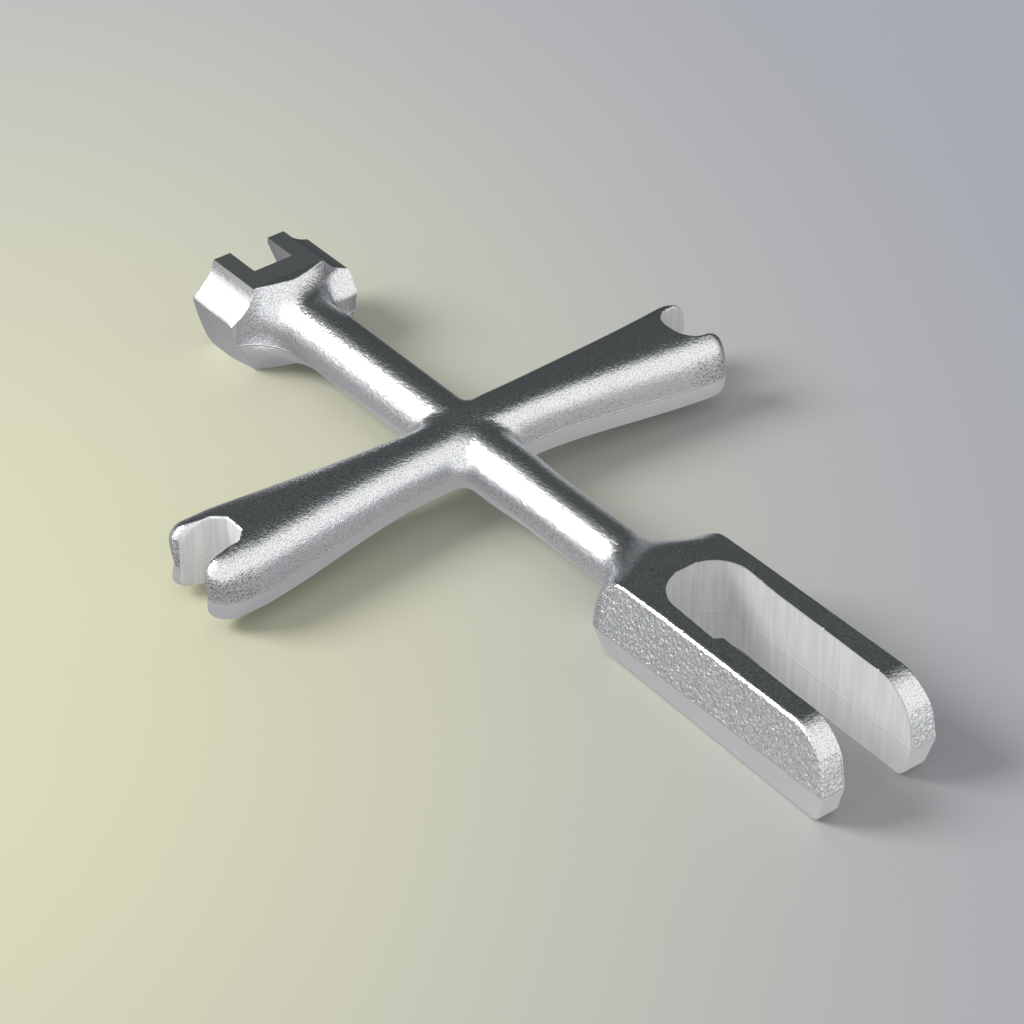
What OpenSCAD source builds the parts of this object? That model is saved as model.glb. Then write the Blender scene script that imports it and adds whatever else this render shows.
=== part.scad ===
// Pop-up plug wrench: a cross-shaped casting with a different wrench end on each of its four limbs.
// +X runs along the main bar toward the fork, +Y toward the short arm, +Z up from the bench.
// The regions below meet face to face on the planes where one form ends and the next begins.

/* [Main bar] */
// Hub centre to the tips of the fork
fork_reach = 102.2; // [96:0.2:120]
// Hub centre to the tips of the plug head's prongs
plug_reach = 62.8; // [58:0.2:80]
// Height of the fork and of the plug head
fork_height = 16.6; // [15:0.2:20]
// Height of the casting's parting line above the bench
parting_z = 6.3; // [5:0.1:8]
// Height of the round bars' axis above the bench
bar_z = 8.9; // [8:0.1:9.4]
// Diameter of the bars where they leave the hub
hub_bar_d = 11; // [9:0.2:11.8]
// Hub centre to the faces where the four bars begin
hub_reach = 11; // [10:0.5:14]
// Radius in the four crotches between the bars
crotch_r = 3.4; // [2:0.1:4]

/* [Fork] */
// Diameter of the bar that carries the fork
fork_bar_d = 10.2; // [8:0.2:11.4]
// Hub centre to the back of the fork's shoulders
fork_back = 46.5; // [42:0.5:49]
// Length over which the bar widens into the shoulders
yoke_flare = 7; // [5:0.25:10]
// Radius of the shoulders' corners in plan
shoulder_r = 2.4; // [1:0.1:3]
// Hub centre to where the fork has its full, square section
fork_square = 52.8; // [51:0.2:53.8]
// Hub centre to the bottom of the slot
slot_root = 56; // [54:0.5:62]
// Width of the slot between the tines
slot_w = 13.9; // [11:0.1:15]
// Width of the eye at the bottom of the slot
eye_w = 15.4; // [15.1:0.1:17]
// Hub centre to where the eye narrows to the slot
eye_end = 72.8; // [68:0.2:80]
// Radius of the eye's corners
eye_corner_r = 4.5; // [2:0.25:6]
// Width over the tines at the parting line
fork_w = 24; // [23:0.2:28]
// Width over the tines at their top
fork_top_w = 22; // [20.4:0.1:22.8]
// Width over the tines at their underside
fork_base_w = 20.4; // [19.6:0.1:22.6]
// Radius of the tips' upper corner, seen from the side
tip_top_r = 5; // [2:0.25:6]
// Radius of the tips' lower corner, seen from the side
tip_base_r = 1.8; // [1:0.1:3]
// How far the tips lean back above the parting line
tip_lean = 1; // [0.2:0.1:1.5]
// How far the tips lean back below the parting line
tip_undercut = 1.6; // [0.4:0.1:2.4]

/* [Plug head] */
// Diameter of the bar that carries the plug head
plug_bar_d = 11; // [9:0.2:11.8]
// Length of the neck that joins the bar to the head
neck_len = 7.4; // [5:0.2:10]
// Length of the head along the bar, prongs included
head_len = 11.8; // [11:0.2:16]
// How far the back of the head's top bulges toward the bar
head_crown = 1.7; // [0.8:0.1:2.4]
// Width of the head's flat top
head_top_w = 15; // [13:0.2:17]
// Width over the ridges on the head's two flanks
head_w = 24.4; // [22:0.2:28]
// Width of the head's underside
head_base_w = 17.4; // [15:0.2:19]
// Height of the ridge on the flank toward the long arm
long_side_ridge_z = 10.6; // [9.6:0.1:12]
// Height of the ridge on the flank toward the short arm
short_side_ridge_z = 12.8; // [11:0.1:13.4]
// Width of the notch between the prongs
notch_w = 8; // [6:0.1:10]
// Depth of the notch between the prongs
notch_depth = 7.4; // [6:0.1:9]
// Diameter of the tapered recess in the head's end, at its mouth
cup_mouth_d = 15.4; // [12:0.2:15.6]
// Depth of the tapered recess
cup_depth = 4.4; // [1:0.2:5]

/* [Long arm] */
// Hub centre to the tips of the long arm
long_reach = 57.5; // [54:0.5:70]
// Width of the long arm near its tips
long_w = 18.2; // [16:0.2:22]
// Width of the long arm's mouth
long_mouth_w = 8; // [6:0.1:9]
// Depth of the long arm's mouth
long_mouth_depth = 10.3; // [9:0.1:12]
// Cut-off corners at the bottom of the long arm's mouth
long_mouth_cut = 2; // [1:0.1:2.5]
// Radius of the long arm's rounded end
long_end_r = 5.6; // [4:0.1:7]

/* [Short arm] */
// Hub centre to the tips of the short arm
short_reach = 52.5; // [48:0.5:64]
// Width of the short arm near its tips
short_w = 18.8; // [17:0.2:22]
// Width of the short arm's mouth at its bottom
short_mouth_w = 8.8; // [7:0.1:10]
// Width of the short arm's mouth between the tips
short_mouth_tip_w = 10.8; // [10:0.1:12]
// Depth of the short arm's mouth
short_mouth_depth = 8.3; // [6.5:0.1:9]
// Radius of the corners at the bottom of the short arm's mouth
short_mouth_r = 1.8; // [1:0.1:2.5]
// Radius of the short arm's rounded end
short_end_r = 4.6; // [4:0.1:6]

/* [Both arms] */
// Height of the arms' flat top near their tips
arm_top_z = 14.2; // [12:0.1:16]
// Height of the arms' underside near their tips
arm_base_z = 1; // [0.5:0.1:3]

/* [Hidden] */

cast_metal = [0.70, 0.71, 0.72];
ground_metal = [0.78, 0.78, 0.77];

// The middle of the whole cross, measured from the hub, is the model's origin
mid_x = (fork_reach - plug_reach) / 2;
mid_y = (short_reach - long_reach) / 2;

// One overrun serves every cut
over = 1;

// Angles round half a section, from the flat on its underside to the flat on its top
rim_end_deg = 81;
rim_steps = 18;
rim_angles = [for (i = [0:rim_steps]) -rim_end_deg + 2 * rim_end_deg * i / rim_steps];

hub_r = hub_bar_d / 2;
fork_bar_r = fork_bar_d / 2;
plug_bar_r = plug_bar_d / 2;
head_back = plug_reach - head_len;
neck_start = head_back - neck_len;
yoke_start = fork_back - yoke_flare;
long_mouth_root = long_reach - long_mouth_depth;
short_mouth_root = short_reach - short_mouth_depth;

arc_steps = 6;
loft_steps = 12;
curve_fn = 64;

// Squareness of a section: 2 is round, more is squarer
round_squareness = 2;
arm_squareness = 3.4;
fork_squareness = 30;

// How much of an arm's end radius comes off its side, its top and its underside
end_side_share = 0.6;
end_top_share = 0.82;
end_base_share = 0.52;

// Hollow of the flanks' scoops and bulge of the facets below them, as shares of their chords
scoop_share = 0.11;
facet_share = 0.04;
// Step of the rim where the ridge between scoop and facet lies
ridge_step = 10;
// The neck's first section, as a share of the way from the round bar to the head's section
neck_full_share = 0.94;

function ease(t) = t * t * (3 - 2 * t);
function mix(a, b, t) = a + (b - a) * t;
function clamp01(t) = max(0, min(1, t));
function progress(x, from, to) = clamp01((x - from) / (to - from));

// Half a section, from the underside up: its half width where it is widest, and at top and base,
// its top and base heights, the height of its widest point and its squareness
function rim(half_w, half_top_w, half_base_w, top, base, wide_z, squareness) =
    [for (a = rim_angles)
        let (rise = pow(abs(sin(a)) / sin(rim_end_deg), 2 / squareness),
             w = mix(half_w, a < 0 ? half_base_w : half_top_w, rise))
        [w * pow(cos(a), 2 / squareness), mix(wide_z, a < 0 ? base : top, rise)]];

function round_rim(r) = rim(r, r, r, bar_z + r, bar_z - r, bar_z, round_squareness);

// A closed section from its two halves: up the one on +Y and down the one on -Y
function section(plus_half, minus_half) =
    concat(plus_half, [for (i = [len(minus_half) - 1:-1:0]) [-minus_half[i][0], minus_half[i][1]]]);

function twin(half) = section(half, half);

function arc(cx, cy, rx, ry, from, to) =
    [for (i = [0:arc_steps])
        let (a = mix(from, to, i / arc_steps))
        [cx + rx * cos(a), cy + ry * sin(a)]];

function middle(ring) = [for (axis = [0:2]) ring_sum([for (q = ring) q[axis]]) / len(ring)];

function ring_sum(values) = values * [for (v = values) 1];

module placed() {
    translate([-mid_x, -mid_y, 0]) children();
}

// Rings of points, each listed the same way round, joined into one solid with flat ends
module skin(rings) {
    n = len(rings[0]);
    last = len(rings) - 1;
    middles = [middle(rings[0]), middle(rings[last])];
    sides = [for (k = [0:last - 1]) for (i = [0:n - 1])
        let (a = k * n + i, b = k * n + (i + 1) % n)
        each [[a, b + n, b], [a, a + n, b + n]]];
    count = n * (last + 1);
    ends = [for (i = [0:n - 1])
        let (next = (i + 1) % n)
        each [[count, i, next], [count + 1, last * n + next, last * n + i]]];
    polyhedron(concat([for (ring = rings) each ring], middles), concat(sides, ends), convexity = 6);
}

// Closed sections at stations along X joined into one solid
module loft_x(stations, sections) {
    skin([for (k = [0:len(stations) - 1]) [for (q = sections[k]) [stations[k], q[0], q[1]]]]);
}

// A closed section carried straight along X
module prism_x(from, to, outline) {
    translate([from, 0, 0]) rotate([90, 0, 90]) linear_extrude(height = to - from) polygon(outline);
}

// Everything on one side of the XZ plane, beyond a given X
module side_space(side, from) {
    size = fork_reach + fork_w;
    translate([from - over, side > 0 ? 0 : -size, -size / 2]) cube(size);
}

// The crossing: level by level, a cross outline whose four inner corners are rounded
module hub() {
    function quarter(w) = concat(
        [[hub_reach, w]],
        arc(w + crotch_r, w + crotch_r, crotch_r, crotch_r, 270, 180),
        [[w, hub_reach]]);
    function turned(q, turns) = turns == 0 ? q : turned([-q[1], q[0]], turns - 1);
    color(cast_metal) placed()
        skin([for (level = round_rim(hub_r))
            [for (turns = [0:3]) for (q = quarter(level[0])) concat(turned(q, turns), level[1])]]);
}

// A round bar that eases from the hub's radius to its own
module shank(to, r) {
    eased_to = 2 * hub_reach;
    stations = concat([for (i = [0:arc_steps]) mix(hub_reach, eased_to, i / arc_steps)], [to]);
    loft_x(stations, [for (x = stations)
        twin(round_rim(mix(hub_r, r, ease(progress(x, hub_reach, eased_to)))))]);
}

module plug_shank() {
    color(cast_metal) placed() rotate([0, 0, 180]) shank(neck_start, plug_bar_r);
}

module fork_shank() {
    color(cast_metal) placed() shank(yoke_start, fork_bar_r);
}

// Half of the fork's full section
fork_half = rim(fork_w / 2, fork_top_w / 2, fork_base_w / 2, fork_height, 0, parting_z, fork_squareness);

// The bar flares to the shoulders, and grows square and tall behind the slot
module fork_yoke() {
    neck_h = fork_w / 2 - shoulder_r - fork_bar_r;
    flare = arc(yoke_start, fork_bar_r + neck_h, yoke_flare, neck_h, -90, -8);
    shoulder = arc(fork_back + shoulder_r, fork_w / 2 - shoulder_r, shoulder_r, shoulder_r, 172, 90);
    body = [for (i = [1:loft_steps])
        [mix(fork_back + shoulder_r, fork_square, i / loft_steps), fork_w / 2]];
    outline = concat(flare, shoulder, body, [[slot_root, fork_w / 2]]);
    loft_x([for (q = outline) q[0]], [for (q = outline)
        let (rise = ease(progress(q[0], yoke_start, fork_square)),
             squared = pow(progress(q[0], yoke_start, fork_square), 2),
             squareness = 2 / mix(2 / round_squareness, 2 / fork_squareness, squared))
        twin(rim(q[1], q[1] * mix(1, fork_top_w / fork_w, squared), q[1] * mix(1, fork_base_w / fork_w, squared),
                 mix(bar_z + fork_bar_r, fork_height, rise), mix(bar_z - fork_bar_r, 0, rise),
                 mix(bar_z, parting_z, rise), squareness))]);
}

// The slot in plan, with the wider eye at its bottom: the eye ends in a step on the long arm's side,
// and narrows evenly on the short arm's side
module slot_outline() {
    eye = eye_w / 2;
    r = eye_corner_r;
    corner = concat([[slot_root - over, eye - r]], arc(slot_root + r, eye - r, r, r, 180, 90));
    slot = [[eye_end, slot_w / 2], [fork_reach + over, slot_w / 2]];
    stepped = concat(corner, [[eye_end, eye]], slot);
    polygon(concat(corner, slot, [for (i = [len(stepped) - 1:-1:0]) [stepped[i][0], -stepped[i][1]]]));
}

// The tines seen from the side: the tips are rounded, and widest on the parting line
module tine_profile() {
    lower = arc(fork_reach - tip_undercut - tip_base_r, tip_base_r, tip_base_r, tip_base_r, -90, -16);
    upper = arc(fork_reach - tip_lean - tip_top_r, fork_height - tip_top_r, tip_top_r, tip_top_r, 8, 90);
    polygon(concat([[slot_root, 0]], lower, [[fork_reach, parting_z]], upper, [[slot_root, fork_height]]));
}

module fork_tine(side) {
    difference() {
        intersection() {
            prism_x(slot_root, fork_reach + over, twin(fork_half));
            translate([0, fork_w, 0]) rotate([90, 0, 0]) linear_extrude(height = 2 * fork_w) tine_profile();
        }
        translate([0, 0, -over]) linear_extrude(height = fork_height + 2 * over) slot_outline();
        side_space(-side, slot_root);
    }
}

// Half of the plug head's section: a facet from the base up to the ridge, a hollow scoop above it
function head_half(ridge_z) =
    let (base = [head_base_w / 2, 0], ridge = [head_w / 2, ridge_z], top = [head_top_w / 2, fork_height])
    concat(
        [for (i = [0:ridge_step]) bowed(base, ridge, i / ridge_step, facet_share)],
        [for (i = [ridge_step + 1:rim_steps])
            bowed(ridge, top, (i - ridge_step) / (rim_steps - ridge_step), -scoop_share)]);

// A point on a shallow bow from p to q that stands off its chord by a share of the chord's length
function bowed(p, q, t, share) =
    let (chord = q - p, bow = 4 * share * t * (1 - t))
    p + t * chord + bow * [chord[1], -chord[0]];

head_section = section(head_half(short_side_ridge_z), head_half(long_side_ridge_z));

// The head's length runs toward -X, so its section is mirrored when it is built along +X
module head_space() {
    mirror([1, 0, 0]) children();
}

module plug_neck() {
    bar_section = twin(round_rim(plug_bar_r));
    turns = [for (i = [0:loft_steps]) 90 * i / loft_steps];
    stations = [for (a = turns) head_back - neck_len * (1 - cos(a))];
    crown_r = (pow(head_top_w / 2, 2) + pow(head_crown, 2)) / (2 * head_crown);
    color(cast_metal) placed() head_space() {
        loft_x([for (i = [loft_steps:-1:0]) stations[i]], [for (i = [loft_steps:-1:0])
            mix(bar_section, head_section, neck_full_share * (1 - sin(turns[i])))]);
        intersection() {
            prism_x(head_back - head_crown - over, head_back, head_section);
            translate([head_back - head_crown + crown_r, 0, -over])
                cylinder(h = fork_height + 2 * over, r = crown_r, $fn = 2 * curve_fn);
        }
    }
}

module notch_space() {
    translate([plug_reach - notch_depth, -notch_w / 2, -over])
        cube([notch_depth + over, notch_w, fork_height + 2 * over]);
}

// A tapered recess on the bar's axis that narrows to the notch's width
module cup_space() {
    taper = (cup_mouth_d - notch_w) / 2 / cup_depth;
    translate([plug_reach - cup_depth, 0, bar_z]) rotate([0, 90, 0])
        cylinder(h = cup_depth + over, r1 = notch_w / 2, r2 = cup_mouth_d / 2 + taper * over, $fn = curve_fn);
}

module plug_head() {
    color(ground_metal) placed() head_space()
        prism_x(head_back, plug_reach - notch_depth, head_section);
}

module plug_prong(side) {
    color(ground_metal) placed() head_space() difference() {
        prism_x(plug_reach - notch_depth, plug_reach, head_section);
        notch_space();
        cup_space();
        side_space(-side, head_back);
    }
}

// An arm's section where its taper has come part of the way from the hub to its full size
function arm_section(half_w, grown, trim = 0) =
    let (w = mix(hub_r, half_w, grown[0]) - trim * end_side_share)
    twin(rim(w, w, w,
        mix(bar_z + hub_r, arm_top_z, grown[1]) - trim * end_top_share,
        mix(bar_z - hub_r, arm_base_z, grown[1]) + trim * end_base_share,
        mix(bar_z, parting_z, grown[1]),
        mix(round_squareness, arm_squareness, sqrt(grown[1]))));

// The arm from the hub to the bottom of its mouth, swelling by a power of the way along
module arm(half_w, mouth_root, full_at, swell) {
    stations = [for (i = [0:loft_steps]) mix(hub_reach, mouth_root, i / loft_steps)];
    loft_x(stations, [for (x = stations)
        let (t = progress(x, hub_reach, full_at)) arm_section(half_w, [pow(t, swell), ease(t)])]);
}

// The arm beyond the bottom of its mouth, with its end rounded off
module arm_end(half_w, mouth_root, full_at, reach, end_r, swell) {
    turn_at = reach - end_r;
    straight = [for (i = [0:arc_steps - 1]) [mix(mouth_root, turn_at, i / arc_steps), 0]];
    rounded = [for (i = [0:loft_steps])
        let (a = 90 * i / loft_steps) [turn_at + end_r * sin(a), end_r * (1 - cos(a))]];
    stations = concat(straight, rounded);
    loft_x([for (s = stations) s[0]], [for (s = stations)
        let (t = progress(s[0], hub_reach, full_at)) arm_section(half_w, [pow(t, swell), ease(t)], s[1])]);
}

// Where the arms reach their full section, and how their width grows from the hub
long_full_at = long_reach - long_end_r;
short_full_at = short_reach - short_end_r / 2;
long_swell = 1.3;
short_swell = 1.5;

module long_mouth_outline() {
    h = long_mouth_w / 2;
    c = long_mouth_cut;
    upper = [[long_mouth_root - over, h - c], [long_mouth_root, h - c],
             [long_mouth_root + c, h], [long_reach + over, h]];
    polygon(concat(upper, [for (i = [len(upper) - 1:-1:0]) [upper[i][0], -upper[i][1]]]));
}

module short_mouth_outline() {
    h = short_mouth_w / 2;
    r = short_mouth_r;
    tip_h = short_mouth_tip_w / 2;
    spread = (tip_h - h) / (short_mouth_depth - r);
    upper = concat(
        [[short_mouth_root - over, h - r]],
        arc(short_mouth_root + r, h - r, r, r, 180, 90),
        [[short_reach + over, tip_h + spread * over]]);
    polygon(concat(upper, [for (i = [len(upper) - 1:-1:0]) [upper[i][0], -upper[i][1]]]));
}

module long_arm_jaw(side) {
    color(cast_metal) placed() rotate([0, 0, -90]) difference() {
        arm_end(long_w / 2, long_mouth_root, long_full_at, long_reach, long_end_r, long_swell);
        translate([0, 0, -over]) linear_extrude(height = fork_height + 2 * over) long_mouth_outline();
        side_space(-side, long_mouth_root);
    }
}

module short_arm_jaw(side) {
    color(cast_metal) placed() rotate([0, 0, 90]) difference() {
        arm_end(short_w / 2, short_mouth_root, short_full_at, short_reach, short_end_r, short_swell);
        translate([0, 0, -over]) linear_extrude(height = fork_height + 2 * over) short_mouth_outline();
        side_space(-side, short_mouth_root);
    }
}

module long_arm() {
    color(cast_metal) placed() rotate([0, 0, -90])
        arm(long_w / 2, long_mouth_root, long_full_at, long_swell);
}

module short_arm() {
    color(cast_metal) placed() rotate([0, 0, 90])
        arm(short_w / 2, short_mouth_root, short_full_at, short_swell);
}

hub();
plug_shank();
plug_neck();
plug_head();
plug_prong(-1);  // plug_prong_long_side
plug_prong(1);  // plug_prong_short_side
fork_shank();
color(cast_metal) placed() fork_yoke();
color(cast_metal) placed() fork_tine(-1);  // fork_tine_long_side
color(cast_metal) placed() fork_tine(1);  // fork_tine_short_side
long_arm();
long_arm_jaw(1);  // long_arm_jaw_fork_side
long_arm_jaw(-1);  // long_arm_jaw_plug_side
short_arm();
short_arm_jaw(-1);  // short_arm_jaw_fork_side
short_arm_jaw(1);  // short_arm_jaw_plug_side
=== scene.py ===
import math

import bpy
import numpy as np
from bpy.props import FloatProperty, FloatVectorProperty, PointerProperty
from mathutils import Matrix, Vector


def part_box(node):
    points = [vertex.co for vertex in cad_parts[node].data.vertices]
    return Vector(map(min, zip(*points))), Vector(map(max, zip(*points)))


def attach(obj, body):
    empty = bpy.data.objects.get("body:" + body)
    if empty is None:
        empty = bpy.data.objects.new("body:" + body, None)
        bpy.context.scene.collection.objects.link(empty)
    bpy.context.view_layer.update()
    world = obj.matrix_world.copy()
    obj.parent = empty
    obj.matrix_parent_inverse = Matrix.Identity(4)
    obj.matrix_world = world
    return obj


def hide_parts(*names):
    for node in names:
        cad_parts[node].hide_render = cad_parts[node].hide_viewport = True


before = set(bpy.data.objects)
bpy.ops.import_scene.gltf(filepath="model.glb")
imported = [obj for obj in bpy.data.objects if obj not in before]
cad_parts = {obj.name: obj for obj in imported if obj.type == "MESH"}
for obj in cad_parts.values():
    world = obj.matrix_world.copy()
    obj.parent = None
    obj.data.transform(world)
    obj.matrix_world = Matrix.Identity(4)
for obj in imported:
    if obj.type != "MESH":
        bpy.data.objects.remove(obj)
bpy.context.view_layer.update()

bl_info = {
    "name": "Pop-up plug wrench",
    "version": (1, 0, 0),
    "blender": (4, 5, 0),
    "location": "3D View > Sidebar > Wrench",
    "description": "Dresses the packed solids of a cast four-way plug wrench",
    "category": "Object",
}

MM = 0.001
# Distances that stand for far outside and for well inside
FAR, DEEP = 20.0, 9.0


def node_box(node):
    """A node's lowest and highest corner in millimetres from the hub's centre, heights from the bench."""
    low, high = (np.array(corner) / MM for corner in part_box(node))
    return low - HUB, high - HUB


hub_low, hub_high = (np.array(corner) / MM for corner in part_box("hub"))
HUB = np.array([(hub_low[0] + hub_high[0]) / 2, (hub_low[1] + hub_high[1]) / 2, 0.0])
HUB_REACH = (hub_high[0] - hub_low[0]) / 2
AXIS_Z = (hub_low[2] + hub_high[2]) / 2
HUB_R = (hub_high[2] - hub_low[2]) / 2

YOKE_LOW = node_box("fork_yoke")[0]
TINE_LOW, TINE_HIGH = node_box("fork_tine_short_side")
NECK_LOW, NECK_HIGH = node_box("plug_neck")
PRONG_LOW, PRONG_HIGH = node_box("plug_prong_short_side")
LONG_LOW = node_box("long_arm")[0]
SHORT_HIGH = node_box("short_arm")[1]
LONG_JAW_LOW = node_box("long_arm_jaw_fork_side")[0]
SHORT_JAW_HIGH = node_box("short_arm_jaw_fork_side")[1]


def length(name, description, default_mm):
    """A length for the sidebar, given in millimetres and kept in metres."""
    return FloatProperty(name=name, description=description, default=default_mm * MM,
                         unit="LENGTH", precision=5)


class WrenchSizes(bpy.types.PropertyGroup):
    """Sizes of the casting's forms, in metres."""
    fork_bar_r: length("Fork bar radius", "Radius of the bar that carries the fork", 5.1)
    plug_bar_r: length("Plug bar radius", "Radius of the bar that carries the plug head", 5.5)
    crotch_r: length("Crotch radius", "Fillet in the four crotches at the hub", 3.2)
    parting: length("Parting height", "Height of the parting line at the ends", 6.3)
    yoke_fillet: length("Yoke fillet", "Fillet from the bar to the fork's shoulders", 6.8)
    yoke_brow: length("Yoke brow", "Rounding of the yoke's top edge toward the bar", 8.0)
    shoulder: length("Shoulder", "Hub to the back of the fork's shoulders", 46.5)
    shoulder_r: length("Shoulder radius", "Corner of the shoulders in plan", 3.0)
    fork_top: length("Fork top", "Half width over the tines at their top", 10.8)
    fork_base: length("Fork base", "Half width over the shoulders at their underside", 9.9)
    slot: length("Slot", "Half width of the slot", 6.8)
    eye: length("Eye", "Half width of the eye where it meets the slot", 8.0)
    eye_end: length("Eye end", "Hub to the end of the eye", 72.8)
    eye_corner: length("Eye corner", "Radius of the eye's corners", 6.6)
    tip_top_r: length("Tip top radius", "Upper corner of the tips from the side", 6.4)
    tip_base_r: length("Tip base radius", "Lower corner of the tips from the side", 1.6)
    neck_fillet: length("Neck fillet", "Turned flare from the bar to the plug head", 7.0)
    neck_fillet_under: length("Neck fillet below", "The same flare on the underside", 9.0)
    head_top: length("Head top", "Half width of the plug head's flat top", 7.5)
    head_base: length("Head base", "Half width of the plug head's underside", 8.8)
    near_ridge: length("Long side ridge", "Height of the ridge toward the long arm", 10.6)
    far_ridge: length("Short side ridge", "Height of the ridge toward the short arm", 12.8)
    notch: length("Notch", "Half width of the notch between the prongs", 4.0)
    cup_mouth: length("Cup mouth", "Radius of the recess in the head's end", 7.7)
    long_mouth: length("Long arm mouth", "Half width of the long arm's mouth", 4.0)
    long_mouth_cut: length("Mouth corner", "Cut-off corners of the long arm's mouth", 2.0)
    short_mouth: length("Short arm mouth", "Half width of the short arm's mouth at its bottom", 4.4)
    short_mouth_tip: length("Short mouth tip", "Half width of the short arm's mouth at the tips", 5.4)
    short_mouth_corner: length("Short mouth corner", "Rounding of the short arm's mouth at its bottom", 3.4)
    arm_root: length("Arm root", "Half width of the arms at the hub", 5.6)
    long_half: length("Long arm half width", "Half width of the long arm near its tips", 9.1)
    short_half: length("Short arm half width", "Half width of the short arm near its tips", 8.9)
    long_root_top: length("Long arm root top", "Height of the long arm's top at the hub", 14.1)
    short_root_top: length("Short arm root top", "Height of the short arm's top at the hub", 15.0)
    long_top: length("Long arm top", "Height of the long arm's flat top near its tips", 14.2)
    short_top: length("Short arm top", "Height of the short arm's flat top near its tips", 14.2)
    tip_rim_r: length("Tip rim radius", "Rounding of the mouths' edges at the arms' tips", 2.0)
    long_end_r: length("Long end radius", "Rounding of the long arm's end", 5.6)
    long_brow_r: length("Long brow radius", "Rounding of the long arm's end at its top", 3.2)
    short_end_r: length("Short end radius", "Rounding of the short arm's end", 2.8)
    short_far_end_r: length("Short far end radius", "The same on the jaw toward the plug head", 4.4)
    edge_r: length("Edge radius", "Rounding of the cast edges", 0.55)
    cut_edge_r: length("Cut edge radius", "Rounding of the cut edges", 0.12)
    rim_r: length("Rim radius", "Rounding round the arms' mouths", 0.45)


class WrenchFinish(bpy.types.PropertyGroup):
    """Grain and colours of the casting."""
    mesh_step: length("Mesh step", "Spacing of the skin's vertices", 0.23)
    draft_step: length("Draft step", "Spacing of the skin's vertices in a quick draft", 0.45)
    pebble: length("Pebble size", "Size of the coarse grain on the tines' outer faces", 0.7)
    pebble_depth: length("Pebble depth", "Height of the coarse grain", 0.06)
    grain: length("Grain size", "Size of the fine cast grain", 0.25)
    grain_depth: length("Grain depth", "Height of the fine cast grain", 0.05)
    seam: length("Parting ridge", "Height of the ridge on the parting line", 0.06)
    metal: FloatVectorProperty(name="Metal", description="Colour of the metal", subtype="COLOR",
                               size=3, min=0, max=1, default=(0.78, 0.79, 0.80))


class Form:
    """The sizes in millimetres, as plain numbers."""

    def __init__(self, group):
        for name in group.bl_rna.properties.keys():
            value = getattr(group, name)
            if isinstance(value, float):
                setattr(self, name, value / MM)


def round_join(a, b, r):
    """Union of two solids with a round fillet of radius r."""
    return np.maximum(r, np.minimum(a, b)) - np.hypot(np.maximum(r - a, 0), np.maximum(r - b, 0))


def round_cut(a, b, r):
    """What two solids share, with its edge rounded to radius r."""
    return np.minimum(-r, np.maximum(a, b)) + np.hypot(np.maximum(r + a, 0), np.maximum(r + b, 0))


def ease(t):
    t = np.clip(t, 0, 1)
    return t * t * (3 - 2 * t)


def mix(a, b, t):
    return a + (b - a) * t


def line_side(u, v, p, q):
    """Distance of (u, v) from the line through p and q, positive on its right."""
    du, dv = q[0] - p[0], q[1] - p[1]
    return ((u - p[0]) * dv - (v - p[1]) * du) / math.hypot(du, dv)


# How the arms swell from the hub: as a power of the way along
ARM_SWELL = 1.3
# How square the arms' sections are: at the hub on the long and on the short side, and at the tips
LONG_ROOT_SQUARE, SHORT_ROOT_SQUARE, TIP_SQUARE = 2.4, 3.0, 3.4
# How far the arms' undersides reach below their half width at the hub
ARM_ROOT_SAG = 0.2
# The long arm's end: how far it stands back above its foot, and how much less for each mm toward the fork
LONG_END_LEAN, LONG_END_SKEW = 1.3, 0.08
# The short arm's end, toward the fork: how far it falls back for each mm along the bar and above the parting
SHORT_END_SKEW, SHORT_END_LEAN = 0.2, 0.08
# How far the parting line runs below the axis at the hub, and how far into the yoke it reaches its end height
PARTING_DROP, PARTING_RUN = 0.6, 6


def bar_field(f, x, y, z):
    r = mix(HUB_R, f.fork_bar_r, ease((x - HUB_REACH) / HUB_REACH))
    r = np.where(x < 0, mix(HUB_R, f.plug_bar_r, ease((-x - HUB_REACH) / HUB_REACH)), r)
    return np.hypot(y, z - AXIS_Z) - r


def arm_grown(y):
    """How far the arm's section has grown from the hub, in width and in shape."""
    t = np.clip((np.abs(y) - HUB_REACH) / (-LONG_LOW[1] - HUB_REACH), 0, 1)
    return t ** ARM_SWELL, ease(t)


def parting_height(f, x, y):
    """Height of the parting line: on the axis at the hub, lower at all four ends."""
    along_arm = arm_grown(y)[1]
    along_bar = np.where(x > 0, ease((x - HUB_REACH) / (YOKE_LOW[0] + PARTING_RUN - HUB_REACH)),
                         ease((-x - HUB_REACH) / (-NECK_HIGH[0] - HUB_REACH)))
    dip = np.where(np.abs(x) < HUB_REACH, along_arm, along_bar)
    return mix(AXIS_Z - PARTING_DROP, f.parting, dip)


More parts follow.
